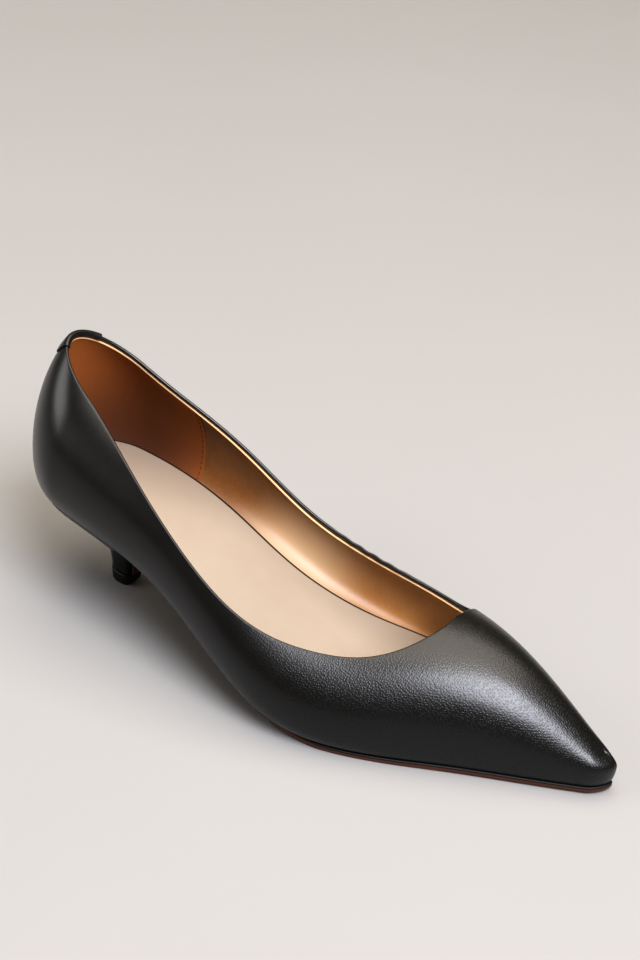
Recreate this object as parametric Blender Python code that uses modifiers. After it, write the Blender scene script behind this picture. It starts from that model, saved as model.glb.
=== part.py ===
"""Kitten heel pump for the right foot, as its maker puts it together: a lasted upper with a back tab,
an insole, an outsole that bends down over the breast of the heel, a heel and its top piece.

Metres. +X points to the toe, +Y to the medial side and +Z up. The shoe stands on the plane z = 0.
"""

from collections import namedtuple

import bmesh
import bpy
import numpy as np
from mathutils import Matrix

# Driving dimensions of the last
LENGTH = 0.256  # back of the heel seat to the tip of the toe
BALL_WIDTH = 0.080  # between the two feather lines at the ball
HEEL_HEIGHT = 0.0455  # floor to the feather line at the back seam
INSTEP_HEIGHT = 0.044  # feather line to the ridge of the last over the waist
SEAT_ROUND = 0.027  # length of the round at the back of the heel seat
TOE_ROUND = 0.0065  # length of the round at the tip of the toe
BACK_LEAN = 0.021  # how far the top of the back seam leans in over the seat
BACK_LEAN_LENGTH = 0.059  # length over which that lean and the counter's swell fade
COUNTER_SWELL = 0.0025  # how far the counter swells out behind the seat
TOE_SWELL = 0.001  # how far the toe swells out in front of its tip
TOE_LEAN = 0.002  # how far the top of the toe lies behind its tip
TOE_LEAN_LENGTH = 0.026  # length over which that lean and swell fade

# Thicknesses and clearances
UPPER_WALL = 0.0017
OUTSOLE_THICKNESS = 0.0026
OUTSOLE_LIP = 0.0006  # the outsole's edge stands proud of the feather line
OUTSOLE_ROUNDING = 0.0008
FLAP_THICKNESS = 0.0014  # the outsole skived thin where it covers the breast
SKIVE_LENGTH = 0.0156  # length over which it is skived
TOE_OVERHANG = 0.0024  # how far the outsole's path runs on past the tip of the toe
BEND_PASSES = 3  # smoothing passes that round the sole's bend into the breast
INSOLE_THICKNESS = 0.0028
INSOLE_FLARE = 0.3  # share of the wall's swell that the insole's upper edge follows
TOP_PIECE_THICKNESS = 0.0048
TOP_PIECE_SPREAD = 0.0003  # the top piece is a little wider than the heel above it
TOP_PIECE_ROUNDING = 0.0006
TAB_WIDTH = 0.0105
TAB_DROP = 0.0095  # outside, below the topline
TAB_TUCK = 0.0035  # inside, below the topline
TAB_THICKNESS = 0.0009
CLEARANCE = 0.0003

FOREFOOT_HEIGHT = OUTSOLE_THICKNESS + CLEARANCE  # floor to the feather line at the ball
BULGE_GIRTH = 0.28  # share of a section's girth that lies below its widest place

# Sections of the last. along: share of LENGTH. rise: share of the climb from forefoot to heel seat.
# lateral, medial, the two swells and ridge_side: shares of BALL_WIDTH. A swell is how far the widest place
# stands out past the feather line. widest and ridge: heights above the feather line, shares of INSTEP_HEIGHT.
# corner: how steeply the wall leaves the feather line, from 0, flat under the foot, to 1, upright.
Section = namedtuple(
    "Section", "along rise lateral medial lateral_swell medial_swell widest ridge ridge_side corner"
)
SECTIONS = (
    Section(0.00, 1.000, 0.312, 0.272, 0.056, 0.056, 0.385, 1.47, -0.022, 0.50),
    Section(0.08, 0.960, 0.376, 0.298, 0.062, 0.062, 0.375, 1.27, -0.012, 0.50),
    Section(0.18, 0.880, 0.416, 0.308, 0.069, 0.075, 0.365, 1.09, -0.012, 0.45),
    Section(0.30, 0.700, 0.450, 0.272, 0.075, 0.112, 0.355, 1.03, -0.022, 0.25),
    Section(0.42, 0.375, 0.522, 0.270, 0.075, 0.125, 0.345, 1.00, -0.033, 0.15),
    Section(0.54, 0.078, 0.586, 0.392, 0.056, 0.088, 0.270, 0.97, -0.020, 0.20),
    Section(0.64, -0.006, 0.534, 0.474, 0.038, 0.044, 0.185, 0.95, 0.018, 0.25),
    Section(0.72, -0.006, 0.434, 0.434, 0.022, 0.022, 0.165, 0.94, 0.052, 0.30),
    Section(0.80, 0.005, 0.310, 0.338, 0.015, 0.015, 0.158, 0.85, 0.065, 0.35),
    Section(0.88, 0.013, 0.191, 0.234, 0.012, 0.012, 0.150, 0.645, 0.062, 0.35),
    Section(0.95, 0.026, 0.088, 0.138, 0.012, 0.012, 0.142, 0.39, 0.061, 0.35),
    Section(1.00, 0.042, 0.012, 0.075, 0.012, 0.012, 0.150, 0.20, 0.061, 0.35),
)

# The topline. along: share of the way from the back seam to the throat. lateral, medial: shares of each
# section's girth from feather line to ridge.
THROAT = 0.73  # share of LENGTH where the topline crosses the ridge
THROAT_SQUARENESS = 10  # 2 is a half ellipse; more is squarer
Topline = namedtuple("Topline", "along lateral medial")
TOPLINE = (
    Topline(0.0, 0.73, 0.73),
    Topline(0.2, 0.71, 0.66),
    Topline(0.4, 0.53, 0.50),
    Topline(0.6, 0.495, 0.455),
    Topline(0.8, 0.60, 0.55),
    Topline(1.0, 0.60, 0.64),
)

# Sections of the heel. height: share of the seat's height. back, front: shares of LENGTH.
# width: share of the seat's width.
HeelSection = namedtuple("HeelSection", "height back front width")
HEEL_SECTIONS = (
    HeelSection(1.00, 0.000, 0.226, 1.000),
    HeelSection(0.94, 0.007, 0.210, 0.930),
    HeelSection(0.86, 0.018, 0.200, 0.820),
    HeelSection(0.76, 0.038, 0.193, 0.660),
    HeelSection(0.66, 0.062, 0.188, 0.490),
    HeelSection(0.54, 0.090, 0.184, 0.330),
    HeelSection(0.40, 0.110, 0.180, 0.240),
    HeelSection(0.22, 0.121, 0.176, 0.205),
    HeelSection(0.00, 0.126, 0.174, 0.200),
)
STEM_SIDE = -0.006  # the stem's y, share of BALL_WIDTH
HEEL_LEVEL = 0.2  # below this share of its height the heel's sections lie level
HEEL_TILT_POWER = 1.5  # above it they tilt up to the seat's slope; more is later

# Fineness of the meshes
OPEN_COLUMNS = 44
VAMP_COLUMNS = 20
LOW_ROWS = 5  # across the wall below LOW_GIRTH
HIGH_ROWS = 8  # and above it
LOW_GIRTH = 0.4  # share of a section's girth, below the lowest place of the topline
HEEL_ROWS = 16
HEEL_POINTS = 22
INSOLE_COLUMNS = 48
SOLE_COLUMNS = 44
FLAP_ROWS = 20
TAB_COLUMNS = 6
TAB_ROWS = 7
FOLD_ROWS = 7
SEAM_STEPS = 200

COLOURS = {
    "upper": ((0.012, 0.012, 0.014), 0.42),
    "back_tab": ((0.012, 0.012, 0.014), 0.42),
    "insole": ((0.78, 0.52, 0.33), 0.55),
    "outsole": ((0.18, 0.055, 0.025), 0.55),
    "heel": ((0.012, 0.012, 0.014), 0.40),
    "top_piece": ((0.015, 0.014, 0.014), 0.60),
}


def natural_spline(xs, ys):
    """A smooth curve through a table's rows, as a function of arrays."""
    xs = np.array(xs, float)
    ys = np.array(ys, float)
    steps = np.diff(xs)
    slopes = np.diff(ys) / steps
    matrix = np.eye(len(xs))
    bends = np.zeros(len(xs))
    for i in range(1, len(xs) - 1):
        matrix[i, i - 1 : i + 2] = steps[i - 1], 2 * (steps[i - 1] + steps[i]), steps[i]
        bends[i] = 6 * (slopes[i] - slopes[i - 1])
    second = np.linalg.solve(matrix, bends)

    def curve(x):
        x = np.asarray(x, float)
        i = np.clip(np.searchsorted(xs, x) - 1, 0, len(steps) - 1)
        t = x - xs[i]
        start = slopes[i] - steps[i] * (2 * second[i] + second[i + 1]) / 6
        return ys[i] + t * start + t**2 * second[i] / 2 + t**3 * (second[i + 1] - second[i]) / (6 * steps[i])

    return curve


def column_curves(table):
    """One smooth curve for each column of a table, over its first column."""
    rows = sorted(table)
    firsts = [row[0] for row in rows]
    names = rows[0]._fields[1:]
    return {name: natural_spline(firsts, [getattr(row, name) for row in rows]) for name in names}


LAST = column_curves(SECTIONS)
COLLAR = column_curves(TOPLINE)
HEEL = column_curves(HEEL_SECTIONS)


def feather_height(along):
    return FOREFOOT_HEIGHT + (HEEL_HEIGHT - FOREFOOT_HEIGHT) * LAST["rise"](along)


def end_share(along):
    """Share of its width that a section keeps in the rounds of the heel seat and the toe."""
    x = along * LENGTH
    seat = np.clip(1 - x / SEAT_ROUND, 0, 1)
    toe = np.clip(1 - (LENGTH - x) / TOE_ROUND, 0, 1)
    return np.sqrt(1 - seat**2) * np.sqrt(1 - toe**2)


def half_width(along, side):
    """From the ridge's plane to the feather line; side is -1 lateral, 1 medial."""
    edge = LAST["lateral"](along) if side < 0 else LAST["medial"](along)
    return (edge - side * LAST["ridge_side"](along)) * BALL_WIDTH * end_share(along)


def feather_side(along, side):
    """y of the feather line."""
    return LAST["ridge_side"](along) * BALL_WIDTH + side * half_width(along, side)


def last_swell(along, side):
    """How far the widest place of the wall stands out past the feather line."""
    swell = LAST["lateral_swell"](along) if side < 0 else LAST["medial_swell"](along)
    return swell * BALL_WIDTH * end_share(along)


def last_point(along, girth, side):
    """Points of the last's surface. girth runs from 0 on the feather line to 1 on the ridge."""
    along, girth = np.broadcast_arrays(np.asarray(along, float), np.asarray(girth, float))
    swell = last_swell(along, side)
    widest = LAST["widest"](along) * INSTEP_HEIGHT
    ridge = LAST["ridge"](along) * INSTEP_HEIGHT
    foot = half_width(along, side)
    low = np.clip(girth / BULGE_GIRTH, 0, 1)
    turn = np.clip((girth - BULGE_GIRTH) / (1 - BULGE_GIRTH), 0, 1) * np.pi / 2
    out = foot + swell * (1 - (1 - low) ** 2)
    out = np.where(girth < BULGE_GIRTH, out, (foot + swell) * np.cos(turn))
    up = 2 * low * (1 - low) * LAST["corner"](along) * widest + low**2 * widest
    up = np.where(girth < BULGE_GIRTH, up, widest + (ridge - widest) * np.sin(turn))
    # The back seam and the toe lean along x; the lean fades over the rounds of the ends.
    back = np.clip(1 - along * LENGTH / BACK_LEAN_LENGTH, 0, 1) ** 2
    toe = np.clip(1 - (1 - along) * LENGTH / TOE_LEAN_LENGTH, 0, 1) ** 2
    swelled = 1 - (1 - low) ** 2
    over = 1 - np.cos(turn)
    lean = back * ((BACK_LEAN + COUNTER_SWELL) * over - COUNTER_SWELL * swelled)
    lean = lean + toe * (TOE_SWELL * swelled - (TOE_LEAN + TOE_SWELL) * over)
    y = LAST["ridge_side"](along) * BALL_WIDTH + side * out
    return np.stack([along * LENGTH + lean, y, feather_height(along) + up], -1)


def topline_girth(along, side):
    """Girth at which the topline lies; 1 from the throat on."""
    way = np.clip(along / THROAT, 0, 1)
    low = COLLAR["lateral"](way) if side < 0 else COLLAR["medial"](way)
    sweep = 1 - np.sqrt(1 - way**THROAT_SQUARENESS)
    return low + (1 - low) * sweep


def eased(count):
    """Shares from 0 to 1 that lie closer together towards both ends."""
    return 0.5 - 0.5 * np.cos(np.linspace(0, np.pi, count + 1))


def upper_columns():
    """Places along the last, close together at the back seam, the throat and the toe."""
    opening = THROAT * eased(OPEN_COLUMNS)
    vamp = THROAT + (1 - THROAT) * eased(VAMP_COLUMNS)
    return np.concatenate([opening, vamp[1:]])


def new_mesh(name, collection, grids):
    """An object from grids of points, joined where their edges meet, with its faces pointing out."""
    mesh = bpy.data.meshes.new(name)
    obj = bpy.data.objects.new(name, mesh)
    collection.objects.link(obj)
    shape = bmesh.new()
    for grid in grids:
        rows = [[shape.verts.new(point) for point in row] for row in grid]
        for lower, upper in zip(rows, rows[1:]):
            for a, b, c, d in zip(lower, lower[1:], upper[1:], upper):
                shape.faces.new((a, b, c, d))
    bmesh.ops.remove_doubles(shape, verts=shape.verts, dist=1e-6)
    bmesh.ops.dissolve_degenerate(shape, edges=shape.edges, dist=1e-7)
    bmesh.ops.recalc_face_normals(shape, faces=shape.faces)
    if shape.calc_volume(signed=True) < 0:
        bmesh.ops.reverse_faces(shape, faces=shape.faces)
    shape.to_mesh(mesh)
    shape.free()
    mesh.shade_smooth()
    mesh.set_sharp_from_angle(angle=np.radians(40))
    mesh.materials.append(finish(name))
    return obj


def finish(name):
    colour, roughness = COLOURS[name]
    material = bpy.data.materials.new(name)
    material.use_nodes = True
    shader = material.node_tree.nodes["Principled BSDF"]
    shader.inputs["Base Color"].default_value = (*colour, 1)
    shader.inputs["Roughness"].default_value = roughness
    shader.inputs["Metallic"].default_value = 0
    return material


def thicken(obj, thickness, offset):
    wall = obj.modifiers.new("wall", "SOLIDIFY")
    wall.thickness = thickness
    wall.offset = offset
    wall.use_even_offset = True
    wall.use_quality_normals = True


def point_outwards(obj, outward_point, direction):
    """Turns an open surface's faces round if the one nearest a point doesn't face the given way."""
    nearest = min(obj.data.polygons, key=lambda face: np.linalg.norm(np.array(face.center) - outward_point))
    if np.dot(nearest.normal, direction) < 0:
        obj.data.flip_normals()


def make_upper(collection):
    """The lasted upper: one skin from feather line to topline, open at the collar and underneath."""
    along = upper_columns()[:, None]
    low = np.linspace(0, LOW_GIRTH, LOW_ROWS + 1) + 0 * along
    shares = np.linspace(0, 1, HIGH_ROWS + 1)[1:]
    grids = []
    for side in (-1, 1):
        high = LOW_GIRTH + (topline_girth(along, side) - LOW_GIRTH) * shares
        grids.append(last_point(along, np.concatenate([low, high], axis=1), side))
    upper = new_mesh("upper", collection, grids)
    point_outwards(upper, last_point(0.4, BULGE_GIRTH, -1), (0, -1, 0))
    thicken(upper, UPPER_WALL, -1)


def pushed_out(loop, distance, closed):
    """A flat outline, anticlockwise, moved out along its own normals."""
    before = np.roll(loop, 1, axis=0)
    after = np.roll(loop, -1, axis=0)
    if not closed:
        before[0] = loop[0]
        after[-1] = loop[-1]
    tangent = after - before
    tangent /= np.linalg.norm(tangent, axis=1)[:, None]
    return loop + distance * np.stack([tangent[:, 1], -tangent[:, 0]], -1)


def plate(name, collection, levels, closed):
    """A closed plate from loops on several levels. Each loop runs up one side, round an end and back."""
    half = len(levels[0]) // 2 + 1
    grids = [np.array([np.concatenate([loop, loop[:1]]) for loop in levels])]
    for loop in (levels[0], levels[-1]):
        medial = np.concatenate([loop[half - 1 :], loop[:1]]) if closed else loop[half - 1 :]
        grids.append(np.stack([loop[:half], medial[::-1]]))
    new_mesh(name, collection, grids)


def around(lateral, medial, closed):
    """One loop from two edges that meet at their last point and, when closed, at their first."""
    return np.concatenate([lateral, medial[-2 : 0 if closed else None : -1]])


def make_insole(collection):
    """The insole board with its sock, inside the upper, its edge bevelled out over the lasting margin."""
    along = eased(INSOLE_COLUMNS)
    sides = [np.stack([along * LENGTH, feather_side(along, side)], -1) for side in (-1, 1)]
    inset = pushed_out(around(*sides, True), -(UPPER_WALL + CLEARANCE), True)
    swells = [side * last_swell(along, side) for side in (-1, 1)]
    flare = INSOLE_FLARE * np.concatenate([swells[0], swells[1][-2:0:-1]])
    spread = inset + np.stack([0 * flare, flare], -1)
    base = feather_height(np.concatenate([along, along[-2:0:-1]]))
    steps = ((inset, 0), (inset, UPPER_WALL), (spread, INSOLE_THICKNESS))
    levels = [np.column_stack([loop, base + height]) for loop, height in steps]
    plate("insole", collection, levels, True)


def seat_front():
    """Where the heel's breast meets the sole, as a share of LENGTH."""
    return float(HEEL["front"](1.0))


def breast_height():
    """Height of the seat at its front edge."""
    return float(feather_height(seat_front())) - CLEARANCE


def squeezed(y, height):
    """The seat's y at a height of the heel, drawn in towards the stem."""
    stem = STEM_SIDE * BALL_WIDTH
    return stem + (y - stem) * HEEL["width"](height)


def heel_loop(height):
    """The heel's outline at a share of its height: round behind, straight across the breast."""
    turn = np.linspace(np.pi, 0, HEEL_POINTS + 1)
    seat = seat_front() * (1 - np.sin(turn))
    y = np.where(turn < np.pi / 2, feather_side(seat, -1), feather_side(seat, 1))
    back = HEEL["back"](height)
    x = (back + seat / seat_front() * (HEEL["front"](height) - back)) * LENGTH
    tilt = max(0.0, (height - HEEL_LEVEL) / (1 - HEEL_LEVEL)) ** HEEL_TILT_POWER
    z = height * breast_height() + (feather_height(seat) - CLEARANCE - breast_height()) * tilt
    return np.stack([x, squeezed(y, height), z], -1)


def make_heel(collection):
    """The covered heel, from the seat under the upper to the top piece."""
    lowest = (TOP_PIECE_THICKNESS + CLEARANCE) / breast_height()
    loops = [heel_loop(height) for height in np.linspace(1, lowest, HEEL_ROWS + 1)]
    plate("heel", collection, loops, False)


def make_top_piece(collection):
    """The lift that stands on the floor, under the heel's stem, its corners rounded."""
    steps = (
        (0.0, TOP_PIECE_THICKNESS),
        (TOP_PIECE_SPREAD, TOP_PIECE_THICKNESS - TOP_PIECE_SPREAD),
        (TOP_PIECE_SPREAD, TOP_PIECE_ROUNDING),
        (TOP_PIECE_SPREAD - TOP_PIECE_ROUNDING, 0.0),
    )
    levels = []
    for spread, z in steps:
        loop = heel_loop(z / breast_height())[:, :2]
        levels.append(np.column_stack([pushed_out(loop, spread, True), np.full(len(loop), z)]))
    plate("top_piece", collection, levels, False)


def sole_pattern():
    """The outsole cut flat: its path in side view, its two edges at each place there, and its flap's count."""
    lowest = (TOP_PIECE_THICKNESS + 2 * CLEARANCE) / breast_height()
    heights = np.linspace(lowest, 1, FLAP_ROWS + 1)[:-1]
    flap = np.stack([HEEL["front"](heights) * LENGTH + CLEARANCE, heights * breast_height()], -1)
    sweep = np.sin(np.linspace(0, np.pi / 2, SOLE_COLUMNS + 1))
    along = seat_front() + (1 - seat_front()) * sweep
    under = np.stack([along * LENGTH, feather_height(along) - CLEARANCE], -1)
    path = np.concatenate([flap, under])
    for _ in range(BEND_PASSES):
        path[1:-1] = (path[:-2] + 6 * path[1:-1] + path[2:]) / 8
    edges = []
    for side in (-1, 1):
        narrowed = squeezed(feather_side(seat_front(), side), heights) - side * OUTSOLE_LIP
        edges.append(np.concatenate([narrowed, feather_side(along, side)]))
    return path, edges, len(heights)


def make_outsole(collection):
    """One sole from the tip of the toe to the seat, which then bends down over the heel's breast."""
    path, edges, flap_count = sole_pattern()
    run = np.concatenate([[0], np.cumsum(np.linalg.norm(np.diff(path, axis=0), axis=1))])
    bend = run[flap_count]
    tip = path[-1] + (path[-1] - path[-2]) / (run[-1] - run[-2]) * TOE_OVERHANG
    path = np.concatenate([path, tip[None]])
    reach = np.append(run, run[-1] + TOE_OVERHANG)
    tangent = np.gradient(path, reach, axis=0)
    tangent /= np.linalg.norm(tangent, axis=1)[:, None]
    outline = around(*[np.stack([run, edge], -1) for edge in edges], False)

    def bent(loop, depth_share):
        """A loop of the flat pattern laid on the path, at a share of the sole's thickness or a depth."""
        place = loop[:, 0]
        share = np.clip((place - bend) / SKIVE_LENGTH + 0.5, 0, 1)
        thickness = FLAP_THICKNESS + (OUTSOLE_THICKNESS - FLAP_THICKNESS) * share**2 * (3 - 2 * share)
        depth = thickness * depth_share
        x, z, tx, tz = (np.interp(place, reach, line) for line in (*path.T, *tangent.T))
        return np.stack([x + depth * tz, loop[:, 1], np.maximum(z - depth * tx, 0)], -1)

    # Each level of the edge: how far it stands out, and its depth as a share of the thickness.
    steps = (
        (OUTSOLE_LIP - 0.3 * OUTSOLE_ROUNDING, 0.0),
        (OUTSOLE_LIP, 0.1),
        (OUTSOLE_LIP, 0.65),
        (OUTSOLE_LIP - 0.3 * OUTSOLE_ROUNDING, 0.9),
        (OUTSOLE_LIP - OUTSOLE_ROUNDING, 1.0),
    )
    levels = [bent(pushed_out(outline, push, False), share) for push, share in steps]
    plate("outsole", collection, levels, False)


def make_back_tab(collection):
    """A strip folded over the topline at the back seam, a clearance off the upper's wall all round."""
    side = -1
    top = float(topline_girth(0.0, side))
    girths = np.linspace(BULGE_GIRTH, top, SEAM_STEPS)
    seam = last_point(0.0, girths, side)
    run = np.concatenate([[0], np.cumsum(np.linalg.norm(np.diff(seam, axis=0), axis=1))])
    rows = np.interp(np.linspace(run[-1] - TAB_DROP, run[-1], TAB_ROWS + 1), run, girths)[:, None]
    across = np.linspace(-1, 1, 2 * TAB_COLUMNS + 1)[None, :]
    turn = (rows - BULGE_GIRTH) / (1 - BULGE_GIRTH) * np.pi / 2
    lateral = LAST["lateral"](0.0) + LAST["ridge_side"](0.0) + LAST["lateral_swell"](0.0)
    medial = LAST["medial"](0.0) - LAST["ridge_side"](0.0) + LAST["medial_swell"](0.0)
    reach = np.where(across < 0, lateral, medial) * BALL_WIDTH * np.cos(turn)
    kept = np.abs(across) * TAB_WIDTH / 2 / reach
    along = SEAT_ROUND / LENGTH * (1 - np.sqrt(1 - kept**2))
    rows = rows + 0 * across
    skin = np.where((across < 0)[..., None], last_point(along, rows, -1), last_point(along, rows, 1))
    down_up = np.gradient(skin, axis=0)
    normal = np.cross(down_up, np.gradient(skin, axis=1))
    normal /= np.linalg.norm(normal, axis=-1)[..., None]
    normal *= -np.sign(normal[0, TAB_COLUMNS, 0])
    up = down_up[-1] / np.linalg.norm(down_up[-1], axis=-1)[:, None]
    middle = skin[-1] - normal[-1] * UPPER_WALL / 2
    radius = UPPER_WALL / 2 + CLEARANCE
    turns = np.linspace(0, np.pi, FOLD_ROWS + 2)[1:-1]
    fold = [middle + radius * (normal[-1] * np.cos(turn) + up * np.sin(turn)) for turn in turns]
    tucked = skin[::-1] - normal[::-1] * (UPPER_WALL + CLEARANCE)
    inside = tucked[: 1 + round(TAB_ROWS * TAB_TUCK / TAB_DROP)]
    grid = np.concatenate([skin + normal * CLEARANCE, fold, inside])
    tab = new_mesh("back_tab", collection, [grid])
    point_outwards(tab, grid[0, TAB_COLUMNS], (-1, 0, 0))
    thicken(tab, TAB_THICKNESS, 1)


def set_origin(objects):
    """Moves the shoe along the floor until the origin is under the middle of its bounding box."""
    graph = bpy.context.evaluated_depsgraph_get()
    corners = np.array([corner[:] for obj in objects for corner in obj.evaluated_get(graph).bound_box])
    x, y, _ = (corners.min(axis=0) + corners.max(axis=0)) / 2
    for obj in objects:
        obj.data.transform(Matrix.Translation((-x, -y, 0)))


def main():
    for obj in list(bpy.data.objects):
        bpy.data.objects.remove(obj)
    collection = bpy.data.collections.new("kitten_heel_pump")
    bpy.context.scene.collection.children.link(collection)
    make_upper(collection)
    make_insole(collection)
    make_outsole(collection)
    make_heel(collection)
    make_top_piece(collection)
    make_back_tab(collection)
    set_origin(collection.objects)


main()
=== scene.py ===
import math

import bmesh
import bpy
import numpy as np
from mathutils import Matrix, Vector


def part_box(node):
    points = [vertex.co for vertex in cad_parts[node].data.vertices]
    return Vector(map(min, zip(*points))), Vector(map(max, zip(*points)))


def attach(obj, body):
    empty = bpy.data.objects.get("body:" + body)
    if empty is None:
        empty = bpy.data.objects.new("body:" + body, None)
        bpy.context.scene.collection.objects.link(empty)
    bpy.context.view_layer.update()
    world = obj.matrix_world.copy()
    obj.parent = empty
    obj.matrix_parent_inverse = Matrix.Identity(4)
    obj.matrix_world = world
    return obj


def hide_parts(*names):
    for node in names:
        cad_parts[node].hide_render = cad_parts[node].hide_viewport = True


# Looks of the kitten heel pump, right foot, in metres. +X is the toe, +Y the medial side, +Z up.

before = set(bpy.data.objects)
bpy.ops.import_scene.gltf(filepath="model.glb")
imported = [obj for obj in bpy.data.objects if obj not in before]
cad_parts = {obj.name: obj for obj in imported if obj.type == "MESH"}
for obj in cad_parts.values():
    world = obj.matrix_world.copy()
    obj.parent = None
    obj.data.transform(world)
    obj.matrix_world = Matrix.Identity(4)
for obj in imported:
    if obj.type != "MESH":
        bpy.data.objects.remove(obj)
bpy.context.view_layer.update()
print("frame loaded:", ", ".join(sorted(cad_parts)))

# The last, with the sizes and sections of the CAD source

last = {
    "length": 0.256,  # back of the heel seat to the tip of the toe
    "ballWidth": 0.080,  # between the feather lines
    "heelHeight": 0.0455,  # floor to the feather line at the back
    "forefootHeight": 0.0029,  # floor to the feather line at the ball
    "instepHeight": 0.044,
    "seatRound": 0.027,
    "toeRound": 0.0065,
    "backLean": 0.021,
    "backLeanLength": 0.059,
    "counterSwell": 0.0025,
    "toeSwell": 0.001,
    "toeLean": 0.0045,
    "toeLeanLength": 0.024,
    "bulgeGirth": 0.28,  # share of the girth below the widest place
    "throat": 0.7231,  # share of the length where the topline crosses the ridge
    "lateralSquareness": 12.8,
    "medialSquareness": 21.4,
    "throatTilt": 0.0203,  # the throat lies further forward on the medial side
    "throatTiltReach": 0.10,
    "throatTiltFade": 0.05,  # share of the length at the toe over which the tilt fades out
}
# What lastRows gives at each share of the length
lastColumns = "rise lateral medial lateralSwell medialSwell widest ridge ridgeSide corner".split()
lastRows = {
    0.00: (1.000, 0.312, 0.272, 0.056, 0.056, 0.385, 1.47, -0.022, 0.27),
    0.08: (0.960, 0.376, 0.298, 0.062, 0.062, 0.375, 1.27, -0.012, 0.27),
    0.18: (0.880, 0.416, 0.308, 0.069, 0.075, 0.365, 1.09, -0.012, 0.25),
    0.30: (0.700, 0.450, 0.272, 0.075, 0.112, 0.355, 1.03, -0.022, 0.25),
    0.42: (0.375, 0.522, 0.270, 0.075, 0.125, 0.345, 1.00, -0.033, 0.15),
    0.54: (0.078, 0.586, 0.392, 0.056, 0.088, 0.270, 0.97, -0.020, 0.20),
    0.64: (-0.006, 0.534, 0.474, 0.038, 0.044, 0.185, 0.95, 0.018, 0.25),
    0.72: (-0.006, 0.434, 0.434, 0.022, 0.022, 0.165, 0.94, 0.052, 0.30),
    0.80: (0.005, 0.310, 0.338, 0.015, 0.015, 0.158, 0.85, 0.065, 0.35),
    0.88: (0.006, 0.191, 0.234, 0.012, 0.012, 0.150, 0.65, 0.062, 0.35),
    0.95: (0.010, 0.088, 0.138, 0.012, 0.012, 0.142, 0.41, 0.061, 0.35),
    1.00: (0.016, 0.012, 0.075, 0.012, 0.012, 0.150, 0.25, 0.061, 0.35),
}
toplineRows = {  # share of the way to the throat: shares of the girth
    0.0: (0.73, 0.73),
    0.2: (0.71, 0.66),
    0.4: (0.53, 0.50),
    0.6: (0.495, 0.455),
    0.8: (0.600, 0.569),
    1.0: (0.608, 0.398),
}
heelRows = {  # share of the seat's height: back and front as shares of length, width as a share of the seat's
    1.00: (0.000, 0.226, 1.000),
    0.94: (0.007, 0.210, 0.930),
    0.86: (0.018, 0.200, 0.820),
    0.76: (0.038, 0.192, 0.660),
    0.66: (0.062, 0.186, 0.490),
    0.54: (0.090, 0.180, 0.330),
    0.40: (0.111, 0.174, 0.235),
    0.22: (0.122, 0.170, 0.195),
    0.00: (0.127, 0.168, 0.185),
}


def splineThrough(xs, ys):
    xs = np.array(xs, float)
    ys = np.array(ys, float)
    steps = np.diff(xs)
    slopes = np.diff(ys) / steps
    matrix = np.eye(len(xs))
    bends = np.zeros(len(xs))
    for i in range(1, len(xs) - 1):
        matrix[i, i - 1 : i + 2] = steps[i - 1], 2 * (steps[i - 1] + steps[i]), steps[i]
        bends[i] = 6 * (slopes[i] - slopes[i - 1])
    second = np.linalg.solve(matrix, bends)

    def curve(x):
        x = np.asarray(x, float)
        i = np.clip(np.searchsorted(xs, x) - 1, 0, len(steps) - 1)
        t = x - xs[i]
        start = slopes[i] - steps[i] * (2 * second[i] + second[i + 1]) / 6
        return ys[i] + t * start + t**2 * second[i] / 2 + t**3 * (second[i + 1] - second[i]) / (6 * steps[i])

    return curve


def curvesOf(rows, columns):
    places = sorted(rows)
    return {name: splineThrough(places, [rows[p][i] for p in places]) for i, name in enumerate(columns)}


lastCurve = curvesOf(lastRows, lastColumns)
toplineCurve = curvesOf(toplineRows, ("lateral", "medial"))
heelCurve = curvesOf(heelRows, ("back", "front", "width"))


def eased(count):
    return 0.5 - 0.5 * np.cos(np.linspace(0, np.pi, count + 1))


def featherHeight(along):
    climb = last["heelHeight"] - last["forefootHeight"]
    return last["forefootHeight"] + climb * lastCurve["rise"](along)


def endShare(along):
    seat = np.clip(1 - along * last["length"] / last["seatRound"], 0, 1)
    toe = np.clip(1 - (1 - along) * last["length"] / last["toeRound"], 0, 1)
    return np.sqrt(1 - seat**2) * np.sqrt(1 - toe**2)


def halfWidth(along, side):
    edge = lastCurve["lateral" if side < 0 else "medial"](along)
    return (edge - side * lastCurve["ridgeSide"](along)) * last["ballWidth"] * endShare(along)


def featherSide(along, side):
    return lastCurve["ridgeSide"](along) * last["ballWidth"] + side * halfWidth(along, side)


def swellOut(along, side):
    curve = lastCurve["lateralSwell" if side < 0 else "medialSwell"]
    return curve(along) * last["ballWidth"] * endShare(along)


# The CAD source puts the origin under the middle of the box; the heel's seat shows by how much
seatFront = float(heelCurve["front"](1.0))
heelLow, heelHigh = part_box("heel")
shoeShift = np.array([heelLow.x, heelLow.y - float(featherSide(seatFront, -1)), 0.0])


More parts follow.
